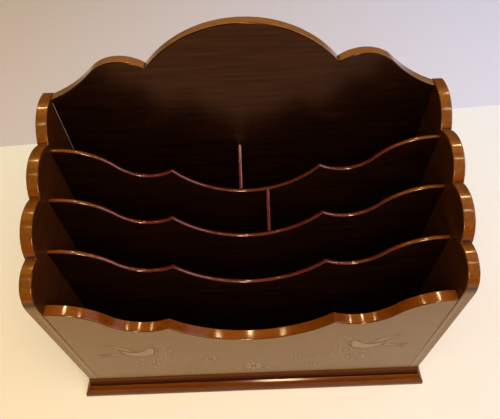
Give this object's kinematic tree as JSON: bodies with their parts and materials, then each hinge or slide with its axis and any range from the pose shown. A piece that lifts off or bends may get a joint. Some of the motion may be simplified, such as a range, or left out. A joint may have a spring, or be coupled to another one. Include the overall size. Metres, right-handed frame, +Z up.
{
  "type": "letter rack",
  "caption": "Desk letter rack in dark polished wood: scalloped sides, arched back, tiered serpentine dividers, low inlaid front and a mitred base moulding.",
  "frame": {"origin": "on the table, under the middle of the rack", "axes": "+X to the right across the rack, +Y from the front to the back, +Z up"},
  "size_m": [0.2992, 0.1518, 0.2726],
  "materials": {
    "rosewood": "dark rosewood, high French polish",
    "divider_wood": "thin dark wood, polished",
    "moulding_wood": "red-brown wood, polished",
    "floor_wood": "plain softwood, stained",
    "boxwood": "pale boxwood, polished flush",
    "satinwood": "golden satinwood, polished flush",
    "stained_wood": "green-brown stained wood, polished flush"
  },
  "bodies": {
    "root": {"left_side": "rosewood", "right_side": "rosewood", "back_panel": "rosewood", "front_panel": "rosewood", "front_veneer": "rosewood", "front_divider": "divider_wood", "middle_divider": "divider_wood", "rear_divider": "divider_wood", "middle_partition": "divider_wood", "rear_partition": "divider_wood", "front_moulding": "moulding_wood", "rear_moulding": "moulding_wood", "left_moulding": "moulding_wood", "right_moulding": "moulding_wood", "floor_board": "floor_wood", "left_stringing": "boxwood", "right_stringing": "boxwood", "left_bird_body": "boxwood", "right_bird_body": "boxwood", "blossom_petals": "boxwood", "left_bird_wing": "satinwood", "left_bird_tail": "satinwood", "right_bird_wing": "satinwood", "right_bird_tail": "satinwood", "blossom_eyes": "satinwood", "left_branch": "stained_wood", "left_leaves": "stained_wood", "right_branch": "stained_wood", "right_leaves": "stained_wood", "blossom_leaves": "stained_wood"}
  },
  "joints": []
}
